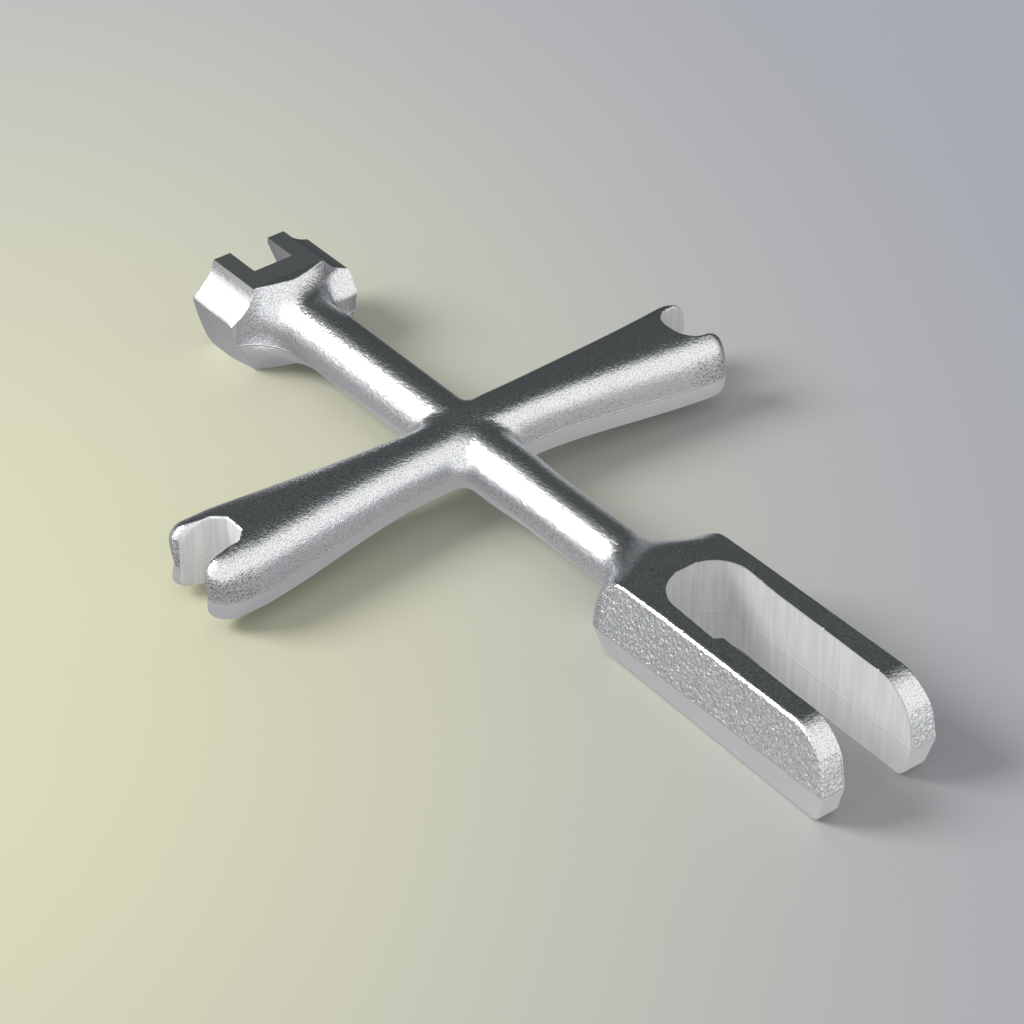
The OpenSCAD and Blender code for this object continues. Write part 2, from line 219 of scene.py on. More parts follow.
def arm_field(f, x, y, z):
    """The crossing arms: squarish sections that swell toward rounded, slightly askew ends."""
    wide, grown = arm_grown(y)
    long_side = y < 0
    side = ease((y + 8) / 16)
    half_w = mix(f.arm_root, mix(f.long_half, f.short_half, side), wide)
    top = mix(mix(f.long_root_top, f.short_root_top, side), mix(f.long_top, f.short_top, side), grown)
    base = mix(AXIS_Z - f.arm_root - ARM_ROOT_SAG, LONG_JAW_LOW[2], grown)
    wide_z = mix(AXIS_Z, f.parting, grown)
    power = mix(mix(LONG_ROOT_SQUARE, SHORT_ROOT_SQUARE, side), TIP_SQUARE, grown)
    up = z - wide_z
    half_h = np.where(up > 0, top - wide_z, wide_z - base)
    reach = (np.abs(x / half_w) ** power + np.abs(up / half_h) ** power) ** (1 / power)
    body = np.hypot(x, up) * (1 - 1 / np.maximum(reach, 1e-6))
    body = np.where(reach < 1e-3, -half_h, body)
    above = ease((z - f.parting) / 5)
    back = (LONG_END_LEAN - LONG_END_SKEW * x) * ease((z - 1) / 5)
    long_end = round_cut(body, LONG_JAW_LOW[1] - y + back, mix(f.long_end_r, f.long_brow_r, above))
    near = ease((x + 2) / 4)
    back = near * (SHORT_END_SKEW * np.maximum(x, 0) + SHORT_END_LEAN * np.maximum(z - f.parting, 0))
    short_end = round_cut(body, y - SHORT_JAW_HIGH[1] + back, mix(f.short_far_end_r, f.short_end_r, near))
    return np.where(long_side, long_end, short_end)


def long_mouth_field(f, x, y):
    """The long arm's mouth: parallel sides, cut-off corners at its root."""
    root = -LONG_LOW[1]
    sides = np.abs(x) - f.long_mouth
    corner = (np.abs(x) - (f.long_mouth - f.long_mouth_cut) - (-y - root)) / math.sqrt(2)
    return np.maximum(np.maximum(sides, root + y), corner)


def short_mouth_field(f, x, y):
    """The short arm's mouth, which widens to its tips from a rounded root."""
    root = SHORT_HIGH[1]
    spread = (f.short_mouth_tip - f.short_mouth) / (SHORT_JAW_HIGH[1] - root)
    sides = np.abs(x) - f.short_mouth - spread * (y - root)
    return round_cut(sides, root - y, f.short_mouth_corner)


# How far the tines' end face falls back for each mm above and below the parting line
TIP_LEAN_UP, TIP_LEAN_DOWN = 0.16, 0.26
# The fork's outer faces: how much wider than the tines' node at the back and how much they close in by the
# tips on the parting line, then how much the top and the underside widen by the tips
FORK_FULL, FORK_TAPER, TOP_SPREAD, BASE_SPREAD = 0.1, 0.4, 0.3, 1.0
# The rounding under the yoke, as a share of the one above it
YOKE_HEEL = 0.3
# The slot: how much the eye and the slot widen for each mm toward the tips, how much narrower the eye and how
# much wider the slot is on the short arm's side, and how much that side closes in for each mm beyond the eye
EYE_FLARE, SLOT_FLARE, EYE_INSET, SLOT_OUTSET, SLOT_CLOSE = 0.05, 0.015, 0.35, 0.3, 0.018


def tip_field(f, x, z):
    """The tines' end face, widest on the parting line."""
    lean = np.where(z > f.parting, TIP_LEAN_UP * (z - f.parting), TIP_LEAN_DOWN * (f.parting - z))
    return x - TINE_HIGH[0] + lean


def fork_side_field(f, x, y, z):
    """The fork's outer faces, widest on the parting line, slightly tapered along the tines."""
    along = np.clip((x - TINE_LOW[0]) / (TINE_HIGH[0] - TINE_LOW[0]), -0.1, 1)
    full = TINE_HIGH[1] + FORK_FULL - FORK_TAPER * along
    top_share = (z - f.parting) / (TINE_HIGH[2] - f.parting)
    base_share = (f.parting - z) / f.parting
    top_w, base_w = f.fork_top + TOP_SPREAD * along, f.fork_base + BASE_SPREAD * along
    half_w = np.where(z > f.parting, mix(full, top_w, top_share), mix(full, base_w, base_share))
    return np.abs(y) - half_w


def fork_field(f, x, y, z):
    """The fork without its slot: shoulders, flat top and underside, rounded tips."""
    back = f.shoulder - x
    top = z - TINE_HIGH[2]
    tip = tip_field(f, x, z)
    upper = round_cut(round_cut(top, back, f.yoke_brow), tip, f.tip_top_r)
    lower = round_cut(round_cut(-z, back, f.yoke_brow * YOKE_HEEL), tip, f.tip_base_r)
    profile = np.maximum(upper, lower)
    corner = mix(f.shoulder_r, f.edge_r, ease((x - f.shoulder) / 6))
    corner = mix(corner, f.cut_edge_r * 2, ease((x - TINE_HIGH[0] + 3) / 2))
    return round_cut(profile, fork_side_field(f, x, y, z), corner)


def slot_field(f, x, y):
    """The slot, with its eye: a step on the long arm's side, an easy narrowing on the other."""
    beyond = x - f.eye_end
    stepped = mix(f.eye - EYE_FLARE * np.maximum(-beyond, 0),
                  f.slot + SLOT_FLARE * (beyond - 7), ease(beyond + 0.5))
    eased = mix(f.eye - EYE_INSET, f.slot + SLOT_OUTSET, ease((x - TINE_LOW[0] - 5) / 11))
    eased = eased - SLOT_CLOSE * np.maximum(beyond, 0)
    return round_cut(np.abs(y) - np.where(y < 0, stepped, eased), TINE_LOW[0] - x, f.eye_corner)


def scoop_field(v, z, top, ridge, sag):
    """Outside of the hollow scoop between the head's top edge and its ridge."""
    chord = math.hypot(ridge[0] - top[0], ridge[1] - top[1])
    r = (chord * chord / 4 + sag * sag) / (2 * sag)
    normal = ((top[1] - ridge[1]) / chord, (ridge[0] - top[0]) / chord)
    centre = ((top[0] + ridge[0]) / 2 + normal[0] * (r - sag),
              (top[1] + ridge[1]) / 2 + normal[1] * (r - sag))
    return r - np.hypot(v - centre[0], z - centre[1])


def facet_field(v, z, base, ridge, bulge):
    """Outside of the lower facet, which bulges a little between the underside and the ridge."""
    share = np.clip((z - base[1]) / (ridge[1] - base[1]), 0, 1)
    return line_side(v, z, base, ridge) - 4 * bulge * share * (1 - share)


# How hollow the two scoops are, and how much the lower facet on the long arm's side bulges
NEAR_SAG, FAR_SAG, FACET_BULGE = 0.85, 0.66, 0.3
# How far the two ridges stand out past the prongs' node, and the height of the short side's upright cheek
NEAR_RIDGE_OUT, FAR_RIDGE_OUT, CHEEK = 0.1, 0.8, 3.0
# Roundings of the short side's cheek and ridge, and of the head's heel
CHEEK_R, FAR_RIDGE_R, HEEL_R = 2.0, 0.6, 2.2
# How far the underside is drawn in toward the neck, and how wide it is beyond the named half width
UNDER_TAPER, BASE_OUT = 1.1, 0.3
# How much further back the head reaches on the short arm's side, and how much gentler its flare is below
BACK_REACH, UNDER_SLOPE = 3.4, 0.62
# Depth of the cup in the head's end
CUP_DEPTH = 4.4


def head_section_field(f, x, y, z):
    """The head's section: flat top, scooped flanks, facets below the ridges."""
    top_z = PRONG_HIGH[2]
    half_w = PRONG_HIGH[1]
    v = np.abs(y) + UNDER_TAPER * ease((x - PRONG_LOW[0] - 5) / 8) * np.clip(1 - z / 7, 0, 1)
    top = (f.head_top, top_z)
    near_ridge, far_ridge = (half_w + NEAR_RIDGE_OUT, f.near_ridge), (half_w + FAR_RIDGE_OUT, f.far_ridge)
    far_cheek = (half_w + FAR_RIDGE_OUT, f.far_ridge - CHEEK)
    base = (f.head_base + BASE_OUT, 0.0)
    scoop = np.where(y < 0, scoop_field(v, z, top, near_ridge, NEAR_SAG),
                     scoop_field(v, z, top, far_ridge, FAR_SAG))
    cheek = round_cut(line_side(v, z, base, far_cheek), line_side(v, z, far_cheek, far_ridge), CHEEK_R)
    facet = np.where(y < 0, facet_field(v, z, base, near_ridge, FACET_BULGE), cheek)
    flank = round_cut(scoop, facet, np.where(y < 0, f.cut_edge_r, FAR_RIDGE_R))
    level = np.maximum(z - top_z, -z)
    return np.maximum(flank, level)


def head_field(f, x, y, z):
    """The turned blank of bar, flare and head, cut to the head's section, notched and cupped."""
    under = ease((AXIS_Z - z) / 5)
    r = mix(f.neck_fillet, f.neck_fillet_under, under)
    back = NECK_LOW[0] + BACK_REACH * ease((y - 4) / 7) * ease((13.8 - z) / 5)
    blank = round_join(np.hypot(y, z - AXIS_Z) - f.plug_bar_r, (x - back) * mix(1.0, UNDER_SLOPE, under), r)
    section = head_section_field(f, x, y, z)
    section = np.where(x > NECK_HIGH[0] + 2, -DEEP, section)
    solid = round_cut(blank, section, f.cut_edge_r)
    heel = round_cut(PRONG_LOW[0] - x, -z, HEEL_R)
    solid = np.maximum(solid, heel)
    notch = np.maximum(np.abs(y) - f.notch, x - PRONG_HIGH[0])
    solid = np.maximum(solid, -notch)
    taper = (f.cup_mouth - f.notch) / CUP_DEPTH
    bottom = PRONG_LOW[0] + CUP_DEPTH
    cone = (np.hypot(y, z - AXIS_Z) - f.notch - taper * (bottom - x)) / math.hypot(1, taper)
    cup = np.maximum(cone, x - bottom)
    return np.maximum(solid, -cup)


# Where the cross is worked out: how far along the bars, and how far to each side of the arms and of the bars
CROSS_LONG, CROSS_WIDE, BAR_WIDE = 60, 17, 9
# Where the fork's and the head's own forms take over along the bars
FORK_FROM, HEAD_FROM = 30, -35
# Where the yoke's fillet starts to give way to the tines, and over what length
YOKE_OUT, YOKE_FADE = 54, 8


def casting_field(f, p):
    """Signed distance, near enough, of points from the casting's skin."""
    x, y, z = p[:, 0], p[:, 1], p[:, 2]
    d = np.full(len(p), FAR)
    pick = np.flatnonzero((np.abs(x) < CROSS_LONG) & ((np.abs(x) < CROSS_WIDE) | (np.abs(y) < BAR_WIDE)))
    px, py, pz = x[pick], y[pick], z[pick]
    bar = bar_field(f, px, py, pz)
    arm = arm_field(f, px, py, pz)
    up = pz - AXIS_Z
    same = up * up / (np.hypot(py, up) * np.hypot(px, up) + 1e-9)
    blend = f.crotch_r * np.clip(1 - same, 0, 1)
    cross = round_join(bar, arm, np.maximum(blend, 1e-3))
    mouths = np.where(py < 0, long_mouth_field(f, px, py), short_mouth_field(f, px, py))
    # The mouths' rims grow rounder toward the arms' ends, less so on the short arm
    tip = ease((-py + LONG_JAW_LOW[1] + 7.5) / 5) + 0.3 * ease((py - SHORT_JAW_HIGH[1] + 4) / 4)
    d[pick] = round_cut(cross, -mouths, mix(f.rim_r, f.tip_rim_r, tip))
    pick = np.flatnonzero(x > FORK_FROM)
    px, py, pz = x[pick], y[pick], z[pick]
    fork = fork_field(f, px, py, pz)
    yoke = round_join(bar_field(f, px, py, pz), fork, f.yoke_fillet)
    yoke = round_cut(yoke, np.abs(pz - TINE_HIGH[2] / 2) - TINE_HIGH[2] / 2, f.edge_r)
    fork = mix(yoke, fork, ease((px - YOKE_OUT) / YOKE_FADE))
    d[pick] = np.maximum(fork, -slot_field(f, px, py))
    pick = np.flatnonzero(x < HEAD_FROM)
    d[pick] = head_field(f, x[pick], y[pick], z[pick])
    return d


def grid_lines(low, high, planes, step):
    """Grid lines about a step apart, with a cell centred on every plane."""
    stops = [low] + [q for plane in sorted(planes) for q in (plane - step / 2, plane + step / 2)] + [high]
    lines = [low]
    for a, b in zip(stops[:-1], stops[1:]):
        count = max(1, round((b - a) / step))
        lines += [a + (b - a) * (i + 1) / count for i in range(count)]
    return np.array(lines)


def skin_points(f, lines):
    """Values of the field on the grid, worked out only near the skin."""
    shape = tuple(len(q) for q in lines)
    stride = 6
    slack = 1.1
    coarse = [np.append(q[::stride], q[-1]) if (len(q) - 1) % stride else q[::stride] for q in lines]
    corners = np.stack(np.meshgrid(*coarse, indexing="ij"), -1).reshape(-1, 3)
    rough = casting_field(f, corners).reshape([len(q) for q in coarse])
    reach = slack * stride * max(np.diff(q).max() for q in lines) * math.sqrt(3)
    near = np.abs(rough) < reach
    block = np.zeros([n - 1 for n in near.shape], bool)
    for i in (0, 1):
        for j in (0, 1):
            for k in (0, 1):
                block |= near[i:i + block.shape[0], j:j + block.shape[1], k:k + block.shape[2]]
    values = np.empty(shape, np.float32)
    signs = np.where(rough[:-1, :-1, :-1] < 0, -1.0, 1.0).astype(np.float32)

    def spread(a):
        for axis in range(3):
            a = np.repeat(a, stride, axis)
            need = shape[axis]
            a = np.take(a, np.minimum(np.arange(need), a.shape[axis] - 1), axis)
        return a

    values[:] = spread(signs)
    active = spread(block)
    for axis in range(3):
        grown = active.copy()
        lead = [slice(None)] * 3
        back = [slice(None)] * 3
        lead[axis], back[axis] = slice(1, None), slice(None, -1)
        grown[tuple(lead)] |= active[tuple(back)]
        active = grown
    where = np.argwhere(active)
    for start in range(0, len(where), 1 << 20):
        part = where[start:start + (1 << 20)]
        points = np.stack([lines[a][part[:, a]] for a in range(3)], -1)
        values[part[:, 0], part[:, 1], part[:, 2]] = casting_field(f, points)
    return values


def slope(f, p, reach=0.02):
    """Gradient of the field by central differences."""
    g = np.empty_like(p)
    for axis in range(3):
        shift = np.zeros(3)
        shift[axis] = reach
        g[:, axis] = (casting_field(f, p + shift) - casting_field(f, p - shift)) / (2 * reach)
    return g


def crossings(f, lines, values):
    """Where the skin crosses the grid's edges: edge, axis, sense, point and slope there."""
    inside = values < 0
    for axis in range(3):
        lead = [slice(None)] * 3
        back = [slice(None)] * 3
        lead[axis], back[axis] = slice(1, None), slice(None, -1)
        edges = np.argwhere(inside[tuple(back)] != inside[tuple(lead)])
        ends = edges.copy()
        ends[:, axis] += 1
        a = values[tuple(edges.T)].astype(float)
        b = values[tuple(ends.T)].astype(float)
        low = np.stack([lines[k][edges[:, k]] for k in range(3)], -1)
        span = lines[axis][ends[:, axis]] - low[:, axis]
        point = low.copy()
        t = a / (a - b)
        point[:, axis] = low[:, axis] + span * t
        middle = casting_field(f, point)
        left = (middle < 0) == (a < 0)
        t = np.where(left, t + (1 - t) * middle / (middle - b), t * a / (a - middle))
        point[:, axis] = low[:, axis] + span * np.clip(t, 0, 1)
        yield axis, edges, a < 0, point, slope(f, point)


def corner_points(quadric, pull, middle):
    """The point of each cell that lies on all the planes met there, so that edges stay crisp."""
    level, turn = np.linalg.eigh(quadric)
    keep = level > 0.1 * level[:, 2:]
    inverse = np.where(keep, 1 / np.where(keep, level, 1), 0)
    along = np.einsum("nji,nj->ni", turn, pull - np.einsum("nij,nj->ni", quadric, middle))
    return middle + np.einsum("nij,nj->ni", turn, along * inverse)


def skin_net(f, lines, planes):
    """One vertex in each cell that the skin crosses, one quad across each crossed grid edge."""
    values = skin_points(f, lines)
    cells = tuple(n - 1 for n in values.shape)
    rings, flips, points, slopes = [], [], [], []
    for axis, edges, out, point, normal in crossings(f, lines, values):
        u, v = [a for a in range(3) if a != axis]
        ring = []
        for du, dv in ((-1, -1), (0, -1), (0, 0), (-1, 0)):
            at = edges.copy()
            at[:, u] += du
            at[:, v] += dv
            ring.append(np.ravel_multi_index(tuple(at.T), cells))
        rings.append(np.stack(ring, -1))
        flips.append(out if axis == 1 else ~out)
        points.append(point)
        slopes.append(normal / np.maximum(np.linalg.norm(normal, axis=1), 1e-6)[:, None])
    rings, flips = np.concatenate(rings), np.concatenate(flips)
    points, slopes = np.concatenate(points), np.concatenate(slopes)
    used, quads = np.unique(rings, return_inverse=True)
    quads = quads.reshape(-1, 4)

    def gather(values):
        return np.bincount(quads.ravel(), np.repeat(values, 4), len(used))

    count = gather(np.ones(len(points)))
    middle = np.stack([gather(points[:, k]) for k in range(3)], -1) / count[:, None]
    quadric = np.stack([np.stack([gather(slopes[:, i] * slopes[:, j]) for j in range(3)], -1)
                        for i in range(3)], 1)
    reach = (slopes * points).sum(1)
    pull = np.stack([gather(slopes[:, k] * reach) for k in range(3)], -1)
    place = corner_points(quadric, pull, middle)
    cell = np.stack(np.unravel_index(used, cells), -1)
    low = np.stack([lines[a][cell[:, a]] for a in range(3)], -1)
    high = np.stack([lines[a][cell[:, a] + 1] for a in range(3)], -1)
    place = np.clip(place, low, high)
    held = np.zeros(place.shape, bool)
    for axis, at, applies in planes:
        on = (cell[:, axis] == np.searchsorted(lines[axis], at) - 1) & applies(place)
        place[on, axis] = at
        held[on, axis] = True
    moved = held.any(1)
    for _ in range(2):
        spot = place[moved]
        g = slope(f, spot)
        g[held[moved]] = 0
        size = (g * g).sum(1)
        shift = g * (casting_field(f, spot) / np.maximum(size, 0.05))[:, None]
        shift[size < 0.02] = 0
        place[moved] = np.clip(spot - shift, low[moved], high[moved])
    return place, np.where(flips[:, None], quads[:, ::-1], quads)


# How far a point may lie from a cut and still count as on it
NEAR = 0.01


def every(p):
    return np.ones(len(p), bool)


def on_arms(p):
    return np.abs(p[:, 0]) < HUB_REACH - 0.5


CUTS = ([(0, at, every) for at in (PRONG_HIGH[0], NECK_LOW[0], NECK_HIGH[0], -HUB_REACH, HUB_REACH,
                                   YOKE_LOW[0], TINE_LOW[0])]
        + [(1, at, on_arms) for at in (LONG_LOW[1], -HUB_REACH, HUB_REACH, SHORT_HIGH[1])])


def inside_node(node, x, y):
    """Which points of the plan lie in a node's own stretch of the casting."""
    hub = (np.abs(x) <= HUB_REACH) & (np.abs(y) <= HUB_REACH)
    arm = (np.abs(x) < HUB_REACH) & ~hub
    long_jaw = arm & (y < LONG_LOW[1] - NEAR)
    short_jaw = arm & (y > SHORT_HIGH[1] + NEAR)
    prong = x < PRONG_HIGH[0] - NEAR
    tine = x > TINE_LOW[0] + NEAR
    stretches = {
        "hub": hub,
        "long_arm": arm & (y < 0) & ~long_jaw,
        "long_arm_jaw_fork_side": long_jaw & (x > 0),
        "long_arm_jaw_plug_side": long_jaw & (x < 0),
        "short_arm": arm & (y > 0) & ~short_jaw,
        "short_arm_jaw_fork_side": short_jaw & (x > 0),
        "short_arm_jaw_plug_side": short_jaw & (x < 0),
        "plug_shank": (x < -HUB_REACH) & (x > NECK_HIGH[0]),
        "plug_neck": (x < NECK_HIGH[0]) & (x > NECK_LOW[0]),
        "plug_head": (x < NECK_LOW[0]) & ~prong,
        "plug_prong_long_side": prong & (y < 0),
        "plug_prong_short_side": prong & (y > 0),
        "fork_shank": (x > HUB_REACH) & (x < YOKE_LOW[0]),
        "fork_yoke": (x > YOKE_LOW[0]) & ~tine,
        "fork_tine_long_side": tine & (y < 0),
        "fork_tine_short_side": tine & (y > 0),
    }
    return stretches[node]


def mesh_of(name, points, faces):
    """A mesh from arrays of points and of faces with any one number of corners."""
    mesh = bpy.data.meshes.new(name)
    count, sides = faces.shape
    mesh.vertices.add(len(points))
    mesh.vertices.foreach_set("co", points.astype(np.float32).ravel())
    mesh.loops.add(count * sides)
    mesh.loops.foreach_set("vertex_index", faces.astype(np.int32).ravel())
    mesh.polygons.add(count)
    mesh.polygons.foreach_set("loop_start", np.arange(0, count * sides, sides, dtype=np.int32))
    mesh.update(calc_edges=True)
    return mesh


def paint(mesh, name, values):
    layer = mesh.attributes.new(name, "FLOAT", "POINT")
    layer.data.foreach_set("value", np.ascontiguousarray(values, dtype=np.float32))


# How near a vertex lies to an inner wall that it belongs to
WALL = 0.35
# How far the walls' masks reach past the nodes' ends
PAST = 0.6
# How much a vertex may face up or down and still belong to a mouth's wall
LEVEL = 0.75
# Where the coarse grain begins on the long and on the short arm, and how much of it they take
LONG_GRAIN, SHORT_GRAIN, ARM_SHARE = 46.0, 40.0, 0.5


def surface_masks(f, points, normals):
    """Where the skin is pebbled, where it is a slot's inner wall, and its height over the parting line."""
    x, y, z = points.T
    nz = normals[:, 2]
    rise = z - parting_height(f, x, y)
    by_slot = (x > TINE_LOW[0] - PAST) & (np.abs(slot_field(f, x, y)) < WALL)
    in_slot = by_slot & (fork_field(f, x, y, z) < -0.05)
    jaw = np.abs(x) < HUB_REACH
    in_mouth = jaw & (y < LONG_LOW[1] + PAST) & (np.abs(long_mouth_field(f, x, y)) < WALL)
    in_mouth |= jaw & (y > SHORT_HIGH[1] - PAST) & (np.abs(short_mouth_field(f, x, y)) < WALL)
    in_mouth &= np.abs(nz) < LEVEL
    inner = in_slot | in_mouth
    upright = ease((0.6 - np.abs(nz)) / 0.3)
    fork = ease((x - f.shoulder - 1.0) / 3.0) * upright
    ends = (ease((-y - LONG_GRAIN) / 6.0) + ease((y - SHORT_GRAIN) / 6.0)) * jaw * upright
    pebble = np.maximum(fork, ARM_SHARE * np.clip(ends, 0, 1)) * ~(inner | by_slot)
    return pebble, inner.astype(float), rise


class Socket:
    """A value in a node tree that takes part in plain arithmetic."""

    def __init__(self, tree, out):
        self.tree, self.out = tree, out

    def math(self, operation, *terms):
        node = self.tree.nodes.new("ShaderNodeMath")
        node.operation = operation
        for slot, term in zip(node.inputs, terms):
            plug(self.tree, slot, term)
        return Socket(self.tree, node.outputs[0])

    def __add__(self, other):
        return self.math("ADD", self, other)

    def __radd__(self, other):
        return self.math("ADD", other, self)

    def __sub__(self, other):
        return self.math("SUBTRACT", self, other)

    def __rsub__(self, other):
        return self.math("SUBTRACT", other, self)

    def __mul__(self, other):
        return self.math("MULTIPLY", self, other)

    def __rmul__(self, other):
        return self.math("MULTIPLY", other, self)

    def __rtruediv__(self, other):
        return self.math("DIVIDE", other, self)

    def __pow__(self, other):
        return self.math("POWER", self, other)


def plug(tree, slot, value):
    if isinstance(value, Socket):
        tree.links.new(value.out, slot)
    else:
        slot.default_value = value


class Graph:
    """One way to add any node: its type, its settings, and the values or links of its sockets."""

    def __init__(self, tree):
        self.tree = tree
        tree.nodes.clear()

    def add(self, kind, settings=(), inputs=(), out=0):
        node = self.tree.nodes.new(kind)
        for name, value in dict(settings).items():
            setattr(node, name, value)
        for name, value in dict(inputs).items():
            plug(self.tree, node.inputs[name], value)
        return Socket(self.tree, node.outputs[out]) if len(node.outputs) else node

    def attribute(self, name):
        return self.add("ShaderNodeAttribute", {"attribute_name": name}, out="Fac")

    def noise(self, where, size_mm, detail=2.0, roughness=0.5):
        return self.add("ShaderNodeTexNoise", {}, {"Vector": where, "Scale": 1 / (size_mm * MM),
                                                   "Detail": detail, "Roughness": roughness}, "Fac")

    def step(self, value, low, high):
        """Smooth step of a value from 0 at low to 1 at high."""
        return self.add("ShaderNodeMapRange", {"interpolation_type": "SMOOTHSTEP"},
                        {"Value": value, "From Min": low, "From Max": high}, "Result")

    def along(self, where, way):
        """How far a place lies along a direction."""
        return self.add("ShaderNodeVectorMath", {"operation": "DOT_PRODUCT"}, {0: where, 1: way}, "Value")

    def tint(self, share, a, b):
        """Colour a turned into colour b by a share."""
        return self.add("ShaderNodeMix", {"data_type": "RGBA"},
                        {0: share, 6: a if isinstance(a, Socket) else (*a, 1),
                         7: b if isinstance(b, Socket) else (*b, 1)}, 2)


# Depth of the grain and share of polish on each of the three finishes
FINISHES = {"cast_metal": (1.0, 0.0), "dressed_metal": (0.5, 0.7), "pebbled_metal": (1.0, 0.0)}
# Colours that the metal is turned toward: painted shade in the hollows of its grain, in its pits, on the
# coarse grains and painted shade between them, below the parting line, where it is polished, and in the dark
# and pale streaks of inner walls
HOLLOW_SHADE, PIT_AND_SHADE, PEBBLE, GAP_SHADE = (0.30, 0.31, 0.31), (0.17, 0.18, 0.18), (0.97, 0.98, 0.98), (0.50, 0.53, 0.52)
BELOW, POLISHED = (0.84, 0.838, 0.85), (0.96, 0.96, 0.955)
WALL_DARK, WALL_PALE = (0.72, 0.72, 0.72), (0.80, 0.80, 0.80)
# Sizes in millimetres of the cloudy patches and of the streaks, and the scale in z that draws the streaks out
CLOUD, STREAK, STREAK_DRAW = 6.0, 0.9, 0.07


def pebbles(g, where, size):
    """Rounded grains side by side: 1 at the middle of each, near 0 between them."""
    cells = g.add("ShaderNodeTexVoronoi", {}, {"Vector": where, "Scale": size}, "Distance")
    return 1 - cells * 1.3


def metal(slot, finish):
    """Bright cast metal: fine grain with painted shade in its hollows, dark pits, a parting line, streaked
    inner walls, coarse pebbles with painted shade between them.
    """
    name = "grained_" + slot
    if name in bpy.data.materials:
        return bpy.data.materials[name]
    grain, polish = FINISHES[slot]
    material = bpy.data.materials.new(name)
    material.use_nodes = True
    g = Graph(material.node_tree)
    where = g.add("ShaderNodeTexCoord", out="Object")
    pebble, inner, rise = g.attribute("pebble"), g.attribute("inner"), g.attribute("rise")
    grain_mm = finish.grain / MM
    above = g.step(rise, -0.10, 0.20)
    cells = g.step(pebble, 0.5, 1.0) * above
    grit = g.step(pebble, 0.0, 0.5) * above
    fine = g.noise(where, grain_mm, 1.0, 0.6)
    coarse = g.noise(where, grain_mm * 3, 1.0)
    pits = g.step(fine, 0.48 + 0.10 * grit, 0.34)
    clouds = g.noise(where, CLOUD)
    line = g.step(rise, -0.16, 0.0) * g.step(rise, 0.18, 0.02)
    stretched = g.add("ShaderNodeMapping", {}, {"Vector": where, "Scale": (1.0, 1.0, STREAK_DRAW)}, "Vector")
    streaks = g.noise(stretched, STREAK)
    domes = pebbles(g, where, 1 / finish.pebble)
    calm = (1 - 0.9 * inner) * (0.5 + 0.5 * above) * grain
    height = (fine * (1.4 + 1.1 * grit) + coarse * 1.3) * calm
    height = height + domes * cells * 1.9 + line * (finish.seam / finish.grain_depth)
    bump = g.add("ShaderNodeBump", {}, {"Strength": 1.0, "Distance": finish.grain_depth,
                                        "Height": height}, "Normal")
    shade = g.tint(clouds, [c * 0.93 for c in finish.metal], list(finish.metal))
    # Painted shade: the hollows of the fine grain are turned darker
    shade = g.tint(g.step(fine, 0.62, 0.40) * calm * 0.22, shade, HOLLOW_SHADE)
    shade = g.tint(cells * 0.6, shade, PEBBLE)
    # Dark pits of the cast grain; on the coarse ends they are darkened further as painted shade
    shade = g.tint(pits * calm * (0.30 + 0.56 * grit - 0.35 * cells), shade, PIT_AND_SHADE)
    # Painted shade in the gaps between the raised pebbles
    shade = g.tint((1 - g.step(domes, 0.10, 0.55)) * cells * 0.4, shade, GAP_SHADE)
    shade = g.tint((1 - above) * 0.7, shade, BELOW)
    shade = g.tint(inner, shade, g.tint(g.step(streaks, 0.35, 0.65), WALL_DARK, WALL_PALE))
    shade = g.tint(0.8 * polish * (1 - inner), shade, POLISHED)
    # Rougher where the grain is coarse and on inner walls, smoother where it is dressed
    rough = 0.16 + 0.10 * coarse + 0.26 * inner - 0.03 * polish + 0.05 * grit
    shader = g.add("ShaderNodeBsdfPrincipled", {}, {"Base Color": shade, "Metallic": 1 - 0.5 * inner,
                                                    "Roughness": rough, "Normal": bump}, "BSDF")
    g.add("ShaderNodeOutputMaterial", {}, {"Surface": shader})
    return material


def grain_tree():
    """Geometry nodes: raise the coarse grain out of the skin where it is pebbled."""
    tree = bpy.data.node_groups.new("Pebbled grain", "GeometryNodeTree")
    face = tree.interface
    face.new_socket("Geometry", in_out="INPUT", socket_type="NodeSocketGeometry")
    for name, kind in (("Size", "Float"), ("Depth", "Float"), ("Metal", "Material")):
        face.new_socket(name, in_out="INPUT", socket_type="NodeSocket" + kind)
    face.new_socket("Geometry", in_out="OUTPUT", socket_type="NodeSocketGeometry")
    g = Graph(tree)
    group = tree.nodes.new("NodeGroupInput")
    take = {out.name: Socket(tree, out) for out in group.outputs if out.name}
    position = g.add("GeometryNodeInputPosition")
    normal = g.add("GeometryNodeInputNormal")
    mask = g.add("GeometryNodeInputNamedAttribute", {"data_type": "FLOAT"}, {"Name": "pebble"})
    domes = pebbles(g, position, 1 / take["Size"])
    cells = g.step(mask, 0.5, 1.0)
    lift = (domes - 0.4) * cells * take["Depth"]
    offset = g.add("ShaderNodeVectorMath", {"operation": "SCALE"}, {"Vector": normal, "Scale": lift})
    moved = g.add("GeometryNodeSetPosition", {}, {"Geometry": take["Geometry"], "Offset": offset})
    real = g.add("GeometryNodeRealizeInstances", {}, {"Geometry": moved})
    dressed = g.add("GeometryNodeSetMaterial", {}, {"Geometry": real, "Material": take["Metal"]})
    tree.links.new(dressed.out, tree.nodes.new("NodeGroupOutput").inputs[0])
    return tree


skin = {}
# How far the grid reaches past the casting
MARGIN = 1.2
# The bend beyond which an edge of the skin is shaded sharp
SHARP = math.radians(40)


